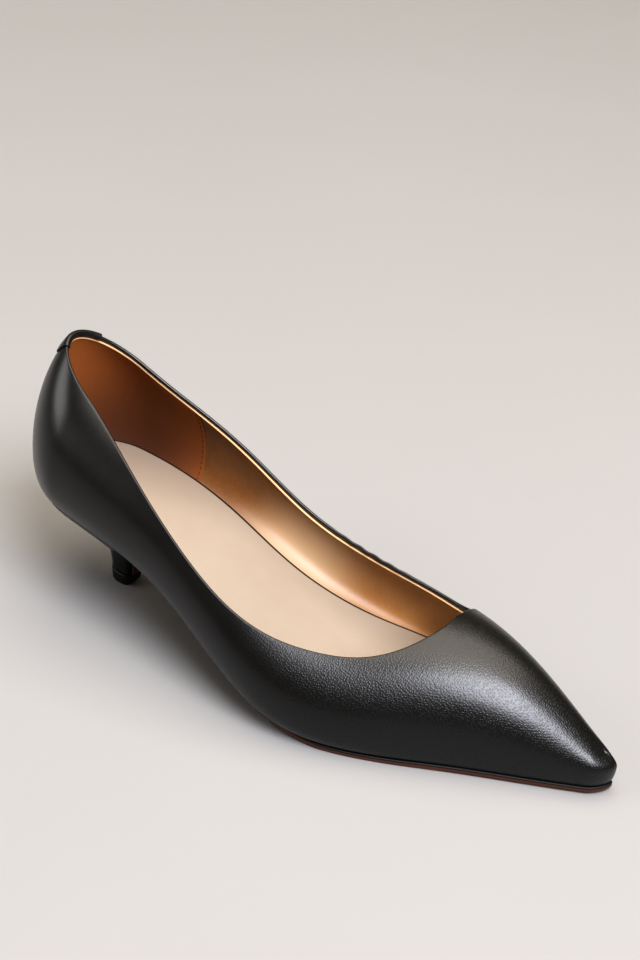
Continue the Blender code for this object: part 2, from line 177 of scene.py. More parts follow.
def lastPoint(along, girth, side):
    # girth runs from 0 on the feather line to 1 on the ridge
    along, girth = np.broadcast_arrays(np.asarray(along, float), np.asarray(girth, float))
    swell = swellOut(along, side)
    widest = lastCurve["widest"](along) * last["instepHeight"]
    ridge = lastCurve["ridge"](along) * last["instepHeight"]
    foot = halfWidth(along, side)
    bulge = last["bulgeGirth"]
    low = np.clip(girth / bulge, 0, 1)
    turn = np.clip((girth - bulge) / (1 - bulge), 0, 1) * np.pi / 2
    swelled = 1 - (1 - low) ** 2
    out = np.where(girth < bulge, foot + swell * swelled, (foot + swell) * np.cos(turn))
    wall = 2 * low * (1 - low) * lastCurve["corner"](along) * widest + low**2 * widest
    up = np.where(girth < bulge, wall, widest + (ridge - widest) * np.sin(turn))
    back = np.clip(1 - along * last["length"] / last["backLeanLength"], 0, 1) ** 2
    toe = np.clip(1 - (1 - along) * last["length"] / last["toeLeanLength"], 0, 1) ** 2
    over = 1 - np.cos(turn)
    rise = np.sin(turn) ** 2
    lean = back * ((last["backLean"] + last["counterSwell"]) * over - last["counterSwell"] * swelled)
    inwards = (last["toeLean"] + last["toeSwell"]) * (rise + rise**2) / 2
    lean = lean + toe * (last["toeSwell"] * swelled - inwards)
    x = along * last["length"] + lean
    y = lastCurve["ridgeSide"](along) * last["ballWidth"] + side * out
    return np.stack([x, y, featherHeight(along) + up], -1) + shoeShift


def toplineGirth(along, side, throat):
    way = np.clip(along / throat, 0, 1)
    name = "lateral" if side < 0 else "medial"
    low = toplineCurve[name](way)
    sweep = 1 - np.sqrt(1 - way ** last[name + "Squareness"])
    return low + (1 - low) * sweep, sweep


def tilted(along, girth, side, throat):
    near = np.exp(-(((along - throat) / last["throatTiltReach"]) ** 2))
    near = near * np.clip((1 - along) / last["throatTiltFade"], 0, 1)
    return np.minimum(along + side * last["throatTilt"] * (1 - girth) * near, 1.0)


def girthLength(along, side):
    section = lastPoint(along[:, None], np.linspace(0, 1, 60)[None, :], side)
    return np.linalg.norm(np.diff(section, axis=1), axis=2).sum(axis=1)


# Small helpers for meshes


def newObject(name, data):
    obj = bpy.data.objects.new(name, data)
    bpy.context.scene.collection.objects.link(obj)
    return obj


def unit(vectors):
    return vectors / np.maximum(np.linalg.norm(vectors, axis=-1, keepdims=True), 1e-12)


def softStep(share):
    share = np.clip(share, 0, 1)
    return share**2 * (3 - 2 * share)


def runAlong(path):
    # Distance along a line of points, from 0 at its first
    return np.concatenate([[0], np.cumsum(np.linalg.norm(np.diff(path, axis=0), axis=1))])


def plateBetween(outer, inner):
    # Grids of a closed plate between two sheets of points
    edges = [np.stack([outer[:, i], inner[:, i]]) for i in (0, -1)]
    edges += [np.stack([outer[i], inner[i]]) for i in (0, -1)]
    return [outer, inner, *edges]


def meshFrom(name, grids, attributes=None, mergeAt=2e-6):
    # Joins grids of points into one smooth mesh; an attribute has a value for each point of each grid
    shape = bmesh.new()
    layers = {key: shape.verts.layers.float.new(key) for key in (attributes or {})}
    for number, grid in enumerate(grids):
        rows = []
        for i, row in enumerate(grid):
            verts = []
            for j, point in enumerate(row):
                vert = shape.verts.new(point)
                for key, layer in layers.items():
                    vert[layer] = float(attributes[key][number][i][j])
                verts.append(vert)
            rows.append(verts)
        for lower, upper in zip(rows, rows[1:]):
            for corners in zip(lower, lower[1:], upper[1:], upper):
                shape.faces.new(corners)
    bmesh.ops.remove_doubles(shape, verts=shape.verts, dist=mergeAt)
    bmesh.ops.dissolve_degenerate(shape, edges=shape.edges, dist=1e-7)
    bmesh.ops.recalc_face_normals(shape, faces=shape.faces)
    if shape.calc_volume(signed=True) < 0:
        bmesh.ops.reverse_faces(shape, faces=shape.faces)
    mesh = bpy.data.meshes.new(name)
    shape.to_mesh(mesh)
    shape.free()
    mesh.shade_smooth()
    return newObject(name, mesh)


def dress(obj, material, sharpAngle=None, nodes=()):
    # Gives a finished piece its material in a slot and its body, and hides the CAD parts that it stands for
    obj.data.materials.clear()
    obj.data.materials.append(material)
    if sharpAngle:
        obj.data.set_sharp_from_angle(angle=math.radians(sharpAngle))
    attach(obj, "root")
    if nodes:
        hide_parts(*nodes)


def bevelled(obj, width):
    bevel = obj.modifiers.new("softEdges", "BEVEL")
    bevel.width = width
    bevel.segments = 3
    bevel.limit_method = "ANGLE"
    bevel.angle_limit = math.radians(50)
    bevel.use_clamp_overlap = False
    bevel.harden_normals = False


# Node helpers


def linear(hexColour):
    # An sRGB hex colour as linear RGBA
    values = [int(hexColour[i : i + 2], 16) / 255 for i in (1, 3, 5)]
    return (*[v / 12.92 if v <= 0.04045 else ((v + 0.055) / 1.055) ** 2.4 for v in values], 1)


def feed(node, sockets):
    # Gives each named socket its value, or links it where the value is another node's socket
    for name, value in sockets.items():
        if isinstance(value, bpy.types.NodeSocket):
            node.id_data.links.new(value, node.inputs[name])
        else:
            node.inputs[name].default_value = value


def addNode(tree, kind, sockets=None, **settings):
    # settings are the node's own properties
    made = tree.nodes.new(kind)
    for name, value in settings.items():
        setattr(made, name, value)
    feed(made, sockets or {})
    return made


def newMaterial(name):
    material = bpy.data.materials.new(name)
    material.use_nodes = True
    tree = material.node_tree
    tree.nodes.clear()
    shader = addNode(tree, "ShaderNodeBsdfPrincipled")
    addNode(tree, "ShaderNodeOutputMaterial", {"Surface": shader.outputs["BSDF"]})
    coordinates = addNode(tree, "ShaderNodeTexCoord").outputs["Object"]
    return material, tree, shader, coordinates


def perMetre(millimetres):
    # Scale of a pattern whose cells measure this on the real object
    return 1000 / millimetres


def alongX(tree, coordinates):
    return addNode(tree, "ShaderNodeSeparateXYZ", {"Vector": coordinates}).outputs["X"]


def noise(tree, coordinates, cellMm, detail, roughness=0.5, output="Fac"):
    sockets = {"Vector": coordinates, "Scale": perMetre(cellMm), "Detail": detail, "Roughness": roughness}
    return addNode(tree, "ShaderNodeTexNoise", sockets).outputs[output]


def blend(tree, share, low, high, kind="RGBA"):
    sockets = {"Factor": share, "A": low, "B": high}
    return addNode(tree, "ShaderNodeMix", sockets, data_type=kind).outputs["Result"]


def ramp(tree, value, start, end, low=0.0, high=1.0, shape="SMOOTHSTEP"):
    # Turns the range from start to end into the one from low to high
    sockets = {"Value": value, "From Min": start, "From Max": end, "To Min": low, "To Max": high}
    return addNode(tree, "ShaderNodeMapRange", sockets, interpolation_type=shape).outputs["Result"]


def bump(tree, height, strength, depth, normal=None):
    sockets = {"Height": height, "Strength": strength, "Distance": depth}
    if normal:
        sockets["Normal"] = normal
    return addNode(tree, "ShaderNodeBump", sockets).outputs["Normal"]


def wobbled(tree, coordinates, cellMm, amountMm):
    # Coordinates that a noise bends, so that a pattern's cells aren't all alike
    colour = noise(tree, coordinates, cellMm, 2.0, output="Color")
    centred = addNode(tree, "ShaderNodeVectorMath", {0: colour, 1: (0.5, 0.5, 0.5)}, operation="SUBTRACT")
    sockets = {0: centred.outputs[0], "Scale": amountMm / 1000}
    scaled = addNode(tree, "ShaderNodeVectorMath", sockets, operation="SCALE")
    return addNode(tree, "ShaderNodeVectorMath", {0: coordinates, 1: scaled.outputs[0]}).outputs[0]


def pebbles(tree, coordinates, cellMm, randomness):
    # Small domes with soft valleys between them, 1 on a dome and 0 in a valley
    sockets = {"Vector": coordinates, "Scale": perMetre(cellMm), "Randomness": randomness}
    return ramp(tree, addNode(tree, "ShaderNodeTexVoronoi", sockets).outputs["Distance"], 0.7, 0.0)


# What the leathers' patterns have in common; the rest is with each piece
pattern = {
    "bendMm": 2.2,  # the noise that bends the pebbles, and by how much
    "bentMm": 0.3,
    "randomness": 0.65,
    "fineMm": 0.28,
    "fineShare": 0.25,
    "drapeMm": 14,  # slow unevenness of a lasted skin
    "drapeDepth": 0.0004,
    "drapeStrength": 0.35,
    "napStretch": 0.12,  # the nap's fibres stand upright
    "paintedShadeReach": 0.35,  # how far the painted shade moves the tone along the shoe
    "paintedShadingCore": 0.25,  # share of a painted light or shade patch's reach that takes its colour fully
    "rumpleMm": 22,
}


def nappaLeather(name, look):
    # Chrome-tanned calf with a thin satin coat: near black, its fine pebble breaks up the highlights
    material, tree, shader, coordinates = newMaterial(name)
    strength = ramp(tree, alongX(tree, coordinates), look["grainFrom"], look["grainTo"], look["grainBack"])
    bent = wobbled(tree, coordinates, pattern["bendMm"], pattern["bentMm"])
    coarse = pebbles(tree, bent, look["grainMm"], pattern["randomness"])
    fine = noise(tree, coordinates, pattern["fineMm"], 3.0)
    grain = bump(tree, blend(tree, pattern["fineShare"], coarse, fine, "FLOAT"), strength, look["grainDepth"])
    drape = noise(tree, coordinates, pattern["drapeMm"], 2.0)
    matt, dull = look["roughness"] - 0.05, look["roughness"] + 0.07
    sockets = {
        "Base Color": blend(tree, coarse, linear(look["grooveColour"]), linear(look["colour"])),
        "Roughness": ramp(tree, drape, 0.0, 1.0, matt, dull, "LINEAR"),
        "Normal": bump(tree, drape, pattern["drapeStrength"], pattern["drapeDepth"], grain),
        "IOR": 1.5,
        "Specular IOR Level": look["specular"],
        "Coat Weight": look["coat"],
        "Coat Roughness": look["coatRoughness"],
        "Sheen Weight": look["sheen"],
        "Sheen Roughness": 0.5,
        "Sheen Tint": linear("#9AA6BC"),
    }
    feed(shader, sockets)
    return material


def liningLeather(name, look):
    # Vegetable-tanned, drum-dyed leather: a warm tan, cloudy, with a soft nap. Painted shade darkens it
    # towards the back, and one round patch is painted in the colour of the light or shade falling on that
    # place
    material, tree, shader, coordinates = newMaterial(name)
    cloud = noise(tree, coordinates, look["cloudMm"], 4.0, 0.6)
    sockets = {"Vector": coordinates, "Scale": (1.0, 1.0, pattern["napStretch"])}
    tall = addNode(tree, "ShaderNodeMapping", sockets).outputs["Vector"]
    shade = blend(tree, look["napShare"], cloud, noise(tree, tall, look["napMm"], 3.0), "FLOAT")
    # Painted shade: the tone darkens towards the back of the shoe, where less light reaches inside
    place = alongX(tree, coordinates)
    reach = pattern["paintedShadeReach"]
    forward = ramp(tree, place, look["paintedShadeDeepAt"], look["paintedShadeClearAt"], -reach, reach, "LINEAR")
    share = addNode(tree, "ShaderNodeMath", {0: shade, 1: forward}, operation="ADD", use_clamp=True)
    dyed = blend(tree, share.outputs["Value"], linear(look["deepColour"]), linear(look["colour"]))
    # A round patch painted in the colour of the light or shade that falls on that place
    away = addNode(tree, "ShaderNodeVectorMath", {0: coordinates, 1: look["paintedShadingAt"]}, operation="DISTANCE")
    core = look["paintedShadingReach"] * pattern["paintedShadingCore"]
    paintedShading = ramp(tree, away.outputs["Value"], look["paintedShadingReach"], core)
    pores = bump(tree, noise(tree, coordinates, look["poreMm"], 3.0), 0.5, look["poreDepth"])
    rumples = noise(tree, coordinates, pattern["rumpleMm"], 1.0)
    sockets = {
        "Base Color": blend(tree, paintedShading, dyed, linear(look["paintedShadingColour"])),
        "Roughness": look["roughness"],
        "Normal": bump(tree, rumples, 0.5, look["rumpleDepth"], pores),
        "IOR": 1.46,
        "Sheen Weight": look["sheen"],
        "Sheen Roughness": 0.45,
        "Sheen Tint": linear(look["sheenColour"]),
    }
    feed(shader, sockets)
    return material


def twoToneLeather(name, look):
    # Leather whose cut edge is inked: the face keeps its dyed colour and the "edge" attribute turns to ink
    material, tree, shader, coordinates = newMaterial(name)
    cloud = noise(tree, coordinates, look["cloudMm"], 5.0, 0.62)
    face = blend(tree, cloud, linear(look["deepColour"]), linear(look["colour"]))
    edge = addNode(tree, "ShaderNodeAttribute", attribute_name="edge").outputs["Fac"]
    inked = ramp(tree, edge, 0.35, 0.65)
    sockets = {
        "Base Color": blend(tree, inked, face, linear(look["inkColour"])),
        "Roughness": ramp(tree, inked, 0.0, 1.0, look["roughness"], look["inkRoughness"], "LINEAR"),
        "Normal": bump(tree, noise(tree, coordinates, look["fibreMm"], 3.0), 0.45, look["fibreDepth"]),
        "IOR": 1.48,
        "Coat Weight": look["coat"],
        "Coat Roughness": look["coatRoughness"],
    }
    feed(shader, sockets)
    return material


def plainFinish(name, colour, deepColour, speckleMm, speckleDepth, roughness, ior):
    # Thread, a cut edge or moulded rubber: one colour with a fine speckle in tone and relief
    material, tree, shader, coordinates = newMaterial(name)
    speckle = noise(tree, coordinates, speckleMm, 3.0)
    sockets = {
        "Base Color": blend(tree, speckle, linear(deepColour), linear(colour)),
        "Roughness": roughness,
        "Normal": bump(tree, speckle, 0.4, speckleDepth),
        "IOR": ior,
    }
    feed(shader, sockets)
    return material


# The lasted upper: leather outside, lining inside, both from one grid of the last's surface

upper = {
    "openColumns": 150,
    "vampColumns": 84,
    "lowRows": 16,
    "highRows": 30,
    "lowGirth": 0.4,
    "foldRows": 8,
    "leather": 0.0014,  # thickness at the folded edge
    "liningOuter": 0.00142,
    "liningInner": 0.00176,
    "lateralTrim": 0.0003,  # how far the lining's edge lies below the fold
    "medialTrim": 0.0016,
    "trimEase": 0.10,  # share of the length over which the lateral trim grows to the medial one at the back
    "counterInner": 0.0021,
    "toeThin": 0.2,  # share of the depth left at the toe, where the ridge is too tight for all of it
    "toeThinLength": 0.03,
    "pleats": 6,  # small gathers of the folded edge at the medial waist
    "pleatFrom": 0.44,
    "pleatTo": 0.60,
    "pleatDepth": 0.00022,
    "pleatRows": 8,
}


def liningTrim(along, side):
    if side > 0:
        return upper["medialTrim"] + 0 * along
    growth = upper["lateralTrim"] - upper["medialTrim"]
    return upper["medialTrim"] + growth * softStep(along / upper["trimEase"])


def upperSurface(trimmed):
    # Points and outward normals of both sides, from the back seam to the toe and from feather line to topline
    throat = last["throat"] + trimmed * upper["medialTrim"] / last["length"]
    opening = throat * eased(upper["openColumns"])
    vamp = throat + (1 - throat) * eased(upper["vampColumns"])
    along = np.concatenate([opening, vamp[1:]])
    points = []
    for side in (-1, 1):
        top, sweep = toplineGirth(along, side, throat)
        top = top - trimmed * liningTrim(along, side) / girthLength(along, side) * (1 - sweep)
        low = np.linspace(0, upper["lowGirth"], upper["lowRows"] + 1)[None, :] + 0 * along[:, None]
        low = np.minimum(low, top[:, None] * 0.98)
        shares = np.linspace(0, 1, upper["highRows"] + 1)[1:]
        high = low[:, -1:] + (top[:, None] - low[:, -1:]) * shares
        girths = np.concatenate([low, high], axis=1)
        points.append(lastPoint(tilted(along[:, None], girths, side, throat), girths, side))
    ring = np.concatenate([points[0], points[1][-2:0:-1]])
    across = np.roll(ring, -1, axis=0) - np.roll(ring, 1, axis=0)
    normals = unit(np.cross(across, np.gradient(ring, axis=1)))
    count = len(along)
    lateral = normals[:count]
    medial = np.concatenate([normals[:1], normals[:count - 1 : -1], normals[count - 1 : count]])
    crossing = upper["openColumns"]
    shared = unit(lateral[crossing:, -1] + medial[crossing:, -1])
    shared[-1] = shared[-2]
    lateral[crossing:, -1] = shared
    medial[crossing:, -1] = shared
    near = softStep((1 - along) * last["length"] / upper["toeThinLength"])
    thin = upper["toeThin"] + (1 - upper["toeThin"]) * near
    return along, points, [lateral * thin[:, None, None], medial * thin[:, None, None]]


def rimLoop(sides):
    # Along the topline from the throat round the back seam and back, without the repeated first point
    crossing = upper["openColumns"]
    lateral, medial = sides
    return np.concatenate([lateral[crossing::-1, -1], medial[1:crossing, -1]])


def shellGrids(points, normals, outer, inner):
    # A closed shell between two depths below the surface, its topline edge rounded
    grids = []
    for side in range(2):
        grids.append(points[side] - normals[side] * outer)
        grids.append((points[side] - normals[side] * inner)[:, ::-1])
    edge = rimLoop(points)
    edgeNormal = rimLoop(normals)
    below = rimLoop([side[:, :-1] for side in points])
    forward = np.roll(edge, -1, axis=0) - np.roll(edge, 1, axis=0)
    upward = unit(np.cross(forward, edgeNormal))
    upward = upward * np.sign(np.sum(upward * (edge - below), axis=1))[:, None]
    middle = edge - edgeNormal * (outer + inner) / 2
    radius = (inner - outer) / 2
    turns = np.linspace(0, np.pi, upper["foldRows"] + 1)
    fold = np.array([middle + radius * (edgeNormal * math.cos(t) + upward * math.sin(t)) for t in turns])
    grids.append(np.concatenate([fold, fold[:, :1]], axis=1))
    for side in range(2):
        feather = points[side][:, 0]
        depth = normals[side][:, 0]
        grids.append(np.stack([feather - depth * inner, feather - depth * outer]))
    return grids


def makeUpperLeather():
    along, points, normals = upperSurface(0)
    shares = (along - upper["pleatFrom"]) / (upper["pleatTo"] - upper["pleatFrom"])
    swell = np.where((shares > 0) & (shares < 1), np.sin(np.clip(shares, 0, 1) * np.pi), 0)
    wave = np.sin(shares * upper["pleats"] * 2 * np.pi) * swell * upper["pleatDepth"]
    rows = np.arange(points[1].shape[1])
    nearEdge = np.clip((rows - rows[-1]) / upper["pleatRows"] + 1, 0, 1) ** 2
    points[1] = points[1] + normals[1] * (wave[:, None] * nearEdge[None, :])[..., None]
    piece = meshFrom("upperLeather", shellGrids(points, normals, 0.0, upper["leather"]))
    material = nappaLeather(
        "blackNappa",
        {
            "colour": "#0B0C0E",
            "grooveColour": "#060707",
            "grainMm": 0.8,  # real calf has 0.3 to 0.5, too fine for the picture's pixels
            "grainDepth": 0.0001,
            "grainBack": 0.16,
            "grainFrom": -0.03,
            "grainTo": 0.04,
            "roughness": 0.35,
            "specular": 0.40,
            "coat": 0.42,
            "coatRoughness": 0.27,
            "sheen": 0.02,
        },
    )
    dress(piece, material, 35, ["upper"])


def makeLining():
    along, points, normals = upperSurface(1)
    piece = meshFrom("lining", shellGrids(points, normals, upper["liningOuter"], upper["liningInner"]))
    material = liningLeather(
        "tanLining",
        {
            "colour": "#A07548",
            "deepColour": "#583519",
            "cloudMm": 38,
            "napMm": 0.9,  # the fibres are finer than the picture's pixels
            "napShare": 0.25,
            "poreMm": 0.35,
            "poreDepth": 0.00005,
            "rumpleDepth": 0.0012,
            "paintedShadeDeepAt": -0.075,  # metres along X over which the painted shade, deepest at the back, fades out
            "paintedShadeClearAt": 0.03,
            "paintedShadingAt": (-0.024, 0.026, 0.022),  # painted highlight, paler where the light falls inside the waist
            "paintedShadingReach": 0.036,
            "paintedShadingColour": "#A68A6C",
            "roughness": 0.4,
            "sheen": 0.15,
            "sheenColour": "#F2D2A8",
        },
    )
    dress(piece, material, 50)
    return along, points, normals


makeUpperLeather()
liningAlong, liningPoints, liningNormals = makeLining()
print("upper leather and lining")

# Pale cut edge of the lining and the stitched seam, by Geometry Nodes along paths


def treeWith(name, inputs):
    tree = bpy.data.node_groups.new(name, "GeometryNodeTree")
    tree.interface.new_socket("Geometry", in_out="INPUT", socket_type="NodeSocketGeometry")
    for label, kind in inputs.items():
        tree.interface.new_socket(label, in_out="INPUT", socket_type="NodeSocket" + kind)
    tree.interface.new_socket("Geometry", in_out="OUTPUT", socket_type="NodeSocketGeometry")
    return tree, addNode(tree, "NodeGroupInput").outputs


def closeTree(tree, geometry, material):
    realised = addNode(tree, "GeometryNodeRealizeInstances", {"Geometry": geometry}).outputs[0]
    painted = addNode(tree, "GeometryNodeSetMaterial", {"Geometry": realised, "Material": material})
    addNode(tree, "NodeGroupOutput", {"Geometry": painted.outputs[0]})
    return tree


def edgeTree():
    # A round bead swept along a path
    tree, given = treeWith("cutEdge", {"Radius": "Float", "Sides": "Int", "Finish": "Material"})
    sockets = {"Radius": given["Radius"], "Resolution": given["Sides"]}
    ring = addNode(tree, "GeometryNodeCurvePrimitiveCircle", sockets).outputs["Curve"]
    sockets = {"Curve": given["Geometry"], "Profile Curve": ring, "Fill Caps": True}
    swept = addNode(tree, "GeometryNodeCurveToMesh", sockets).outputs["Mesh"]
    smooth = addNode(tree, "GeometryNodeSetShadeSmooth", {"Geometry": swept}).outputs["Geometry"]
    return closeTree(tree, smooth, given["Finish"])


def stitchTree():
    # A row of short rounded stitches along a path, each laid along it
    kinds = {"Stitch Length": "Float", "Pitch": "Float", "Thread Radius": "Float", "Finish": "Material"}
    tree, given = treeWith("stitchRow", kinds)
    sockets = {"Curve": given["Geometry"], "Length": given["Pitch"]}
    places = addNode(tree, "GeometryNodeResampleCurve", sockets, mode="LENGTH")
    tangent = addNode(tree, "GeometryNodeInputTangent").outputs["Tangent"]
    turned = addNode(tree, "FunctionNodeAlignRotationToVector", {"Vector": tangent}, axis="X")
    half = addNode(tree, "ShaderNodeMath", {0: given["Stitch Length"], 1: 0.5}, operation="MULTIPLY")
    thread = given["Thread Radius"]
    size = addNode(tree, "ShaderNodeCombineXYZ", {"X": half.outputs[0], "Y": thread, "Z": thread})
    bead = addNode(tree, "GeometryNodeMeshUVSphere", {"Segments": 8, "Rings": 6, "Radius": 1.0})
    rounded = addNode(tree, "GeometryNodeSetShadeSmooth", {"Geometry": bead.outputs["Mesh"]})
    sockets = {
        "Points": places.outputs["Curve"],
        "Instance": rounded.outputs["Geometry"],
        "Rotation": turned.outputs["Rotation"],
        "Scale": size.outputs["Vector"],
    }
    laid = addNode(tree, "GeometryNodeInstanceOnPoints", sockets)
    return closeTree(tree, laid.outputs["Instances"], given["Finish"])


def alongPaths(name, paths, tree, inputs, cyclic=False):
    # Runs a node tree on curves through the given points and returns the result as a plain mesh object
    line = bpy.data.curves.new(name, "CURVE")
    line.dimensions = "3D"
    for path in paths:
        spline = line.splines.new("POLY")
        spline.points.add(len(path) - 1)
        for target, point in zip(spline.points, path):
            target.co = (*point, 1)
        spline.use_cyclic_u = cyclic
    carrier = newObject(name + "Path", line)
    modifier = carrier.modifiers.new("pattern", "NODES")
    modifier.node_group = tree
    for item in tree.interface.items_tree:
        if item.in_out == "INPUT" and item.name in inputs:
            modifier[item.identifier] = inputs[item.name]
    bpy.context.view_layer.update()
    made = carrier.evaluated_get(bpy.context.evaluated_depsgraph_get())
    mesh = bpy.data.meshes.new_from_object(made)
    mesh.name = name
    bpy.data.objects.remove(carrier)
    return newObject(name, mesh)


liningEdge = {"radius": 0.00046, "sides": 10}


def makeLiningEdge():
    edge = rimLoop(liningPoints)
    normal = rimLoop(liningNormals)
    path = edge - normal * (upper["liningOuter"] + liningEdge["radius"])
    # Raw cut edge of the lining: undyed, so paler than its face
    material = plainFinish("liningCutEdge", "#DDBC90", "#DDB58A", 0.8, 0.00003, roughness=0.5, ior=1.46)
    inputs = {"Radius": liningEdge["radius"], "Sides": liningEdge["sides"], "Finish": material}
    piece = alongPaths("liningEdge", [path], edgeTree(), inputs, cyclic=True)
    dress(piece, material)


makeLiningEdge()

# Counter lining: a suede piece over the heel's inside, sewn along its front edges

counter = {
    "frontTop": 0.204,  # share of the length where its front edge meets the topline
    "frontFeather": 0.214,  # and the feather line
    "stitchLength": 0.0016,
    "stitchPitch": 0.0023,
    "thread": 0.00017,
    "seamInset": 0.0016,  # from the front edge
    "threadSunk": 0.4,  # share of its radius by which the thread's middle stands off the suede
    "gap": 0.00002,  # between lining and counter lining
    "columns": 60,
    "rows": 40,
}


def counterLoopPoint(across, height, depth):
    # across runs from -1 on the lateral front edge over 0 at the back seam to 1 on the medial front edge
    side = np.where(across < 0, -1, 1)
    front = counter["frontFeather"] + (counter["frontTop"] - counter["frontFeather"]) * height
    along = (1 - np.cos(across * np.pi / 2)) * front
    points = []
    for each in (-1, 1):
        top, _ = toplineGirth(along, each, last["throat"])
        length = girthLength(along.ravel(), each).reshape(along.shape)
        below = liningTrim(along, each) + liningEdge["radius"]
        points.append(lastPoint(along, height * (top - below / length), each))
    surface = np.where((side < 0)[..., None], points[0], points[1])
    normal = unit(np.cross(np.gradient(surface, axis=0), np.gradient(surface, axis=1)))
    normal = normal * np.sign(normal[len(normal) // 4, 0, 1]) * -1
    return surface - normal * depth, normal


def makeCounterLining():
    across = np.linspace(-1, 1, 2 * counter["columns"] + 1)[:, None]
    height = np.linspace(0.0, 1.0, counter["rows"] + 1)[None, :]
    across, height = np.broadcast_arrays(across, height)
    outer, normal = counterLoopPoint(across, height, upper["liningInner"] + counter["gap"])
    inner = outer - normal * (upper["counterInner"] - upper["liningInner"])
    piece = meshFrom("counterLining", plateBetween(outer, inner))
    material = liningLeather(
        "counterSuede",
        {
            "colour": "#AE6A32",
            "deepColour": "#8C5528",
            "cloudMm": 30,
            "napMm": 0.7,  # drawn coarser, as on the lining
            "napShare": 0.4,
            "poreMm": 0.3,
            "poreDepth": 0.00008,
            "rumpleDepth": 0.0005,
            "paintedShadeDeepAt": -0.3,
            "paintedShadeClearAt": 0.1,
            "paintedShadingAt": (-0.100, 0.010, 0.046),  # painted shade, dark deep inside the back of the heel
            "paintedShadingReach": 0.056,
            "paintedShadingColour": "#40200C",
            "roughness": 0.85,
            "sheen": 0.35,
            "sheenColour": "#E0A468",
        },
    )
    dress(piece, material, 50)
    return inner, normal


counterInner, counterNormal = makeCounterLining()


def makeSeam():
    spacing = np.linalg.norm(counterInner[1, 5] - counterInner[0, 5])
    step = max(1, round(counter["seamInset"] / spacing))
    rows = slice(2, -1)  # stops short of the sock and the topline
    raised = counter["thread"] * counter["threadSunk"]
    paths = []
    for column in (step, len(counterInner) - 1 - step):
        paths.append(counterInner[column, rows] - counterNormal[column, rows] * raised)
    # Waxed brown thread: dark and matt, each stitch a small rounded bead
    material = plainFinish("seamThread", "#5A3016", "#3E1F0C", 0.25, 0.00004, roughness=0.7, ior=1.5)
    inputs = {
        "Stitch Length": counter["stitchLength"],
        "Pitch": counter["stitchPitch"],
        "Thread Radius": counter["thread"],
        "Finish": material,
    }
    piece = alongPaths("counterSeam", paths, stitchTree(), inputs)
    dress(piece, material)


makeSeam()
print("lining edge, counter lining and seam")

# The sock: smooth kip over foam on the insole board, its edge rolled down

sock = {
    "inset": 0.0022,  # from the feather line to the edge, wall and gap
    "board": 0.0012,
    "thickness": 0.0028,
    "roll": 0.0013,
    "ink": 0.0016,  # width of the black edge paint seen from above
    "flare": 0.3,
    "crown": 0.0005,
    "crownWidth": 0.05,  # the crown flattens where the sock is narrower
    "rollDepth": 0.9,
    "columns": 170,
    "across": 44,
}


def pushedOut(loop, distance, closed):
    # Moves the points of a flat loop outwards
    before = np.roll(loop, 1, axis=0)
    after = np.roll(loop, -1, axis=0)
    if not closed:
        before[0] = loop[0]
        after[-1] = loop[-1]
    tangent = unit(after - before)
    return loop + distance * np.stack([tangent[:, 1], -tangent[:, 0]], -1)


def makeSock():
    along = eased(sock["columns"])
    sides = [np.stack([along * last["length"], featherSide(along, side)], -1) for side in (-1, 1)]
    loop = np.concatenate([sides[0], sides[1][-2:0:-1]])
    inset = pushedOut(loop, -sock["inset"], True)
    count = len(along)
    lateral = inset[:count]
    medial = np.concatenate([inset[:1], inset[:count - 1 : -1], inset[count - 1 : count]])
    swells = [swellOut(along, side) for side in (-1, 1)]
    base = featherHeight(along)

    def row(share, height, spread):
        flat = lateral + (medial - lateral) * share
        flare = sock["flare"] * spread * (swells[1] * share - swells[0] * (1 - share))
        return np.column_stack([flat[:, 0], flat[:, 1] + flare, base + height]) + shoeShift

    width = np.maximum(np.linalg.norm(medial - lateral, axis=1), 1e-4)
    top = []
    painted = []
    for share in eased(sock["across"]):
        near = min(share, 1 - share)
        distance = near * width
        painted.append(np.clip(1.5 - distance / sock["ink"], 0, 1))
        drop = np.clip(1 - distance / sock["roll"], 0, 1)
        height = sock["thickness"] - sock["roll"] * sock["rollDepth"] * (1 - np.sqrt(1 - drop**2))
        crown = sock["crown"] * (4 * share * (1 - share)) * np.clip(width / sock["crownWidth"], 0, 1)
        top.append(row(share, height + crown, 1.0))
    bottom = [row(share, 0 * width, 0.0) for share in np.linspace(0, 1, 3)]
    walls = []
    for share, edgeRow in ((0.0, top[0]), (1.0, top[-1])):
        walls.append([row(share, 0 * width, 0.0), row(share, 0 * width + sock["board"], 0.4), edgeRow])
    grids = [np.array(top), np.array(bottom), np.array(walls[0]), np.array(walls[1])]
    ink = [np.array(painted)] + [np.ones(grid.shape[:2]) for grid in grids[1:]]
    piece = meshFrom("sock", grids, {"edge": ink}, mergeAt=1e-5)
    material = twoToneLeather(
        "sockKip",
        {
            "colour": "#978B7E",
            "deepColour": "#8C7F71",
            "inkColour": "#120D0A",
            "cloudMm": 26,
            "fibreMm": 0.4,
            "fibreDepth": 0.00003,
            "roughness": 0.42,
            "inkRoughness": 0.5,
            "coat": 0.15,
            "coatRoughness": 0.35,
        },
    )
    dress(piece, material, 50, ["insole"])


makeSock()
print("sock")

# Outsole: cut flat, inked round its edge, bent up the waist and down over the heel's breast

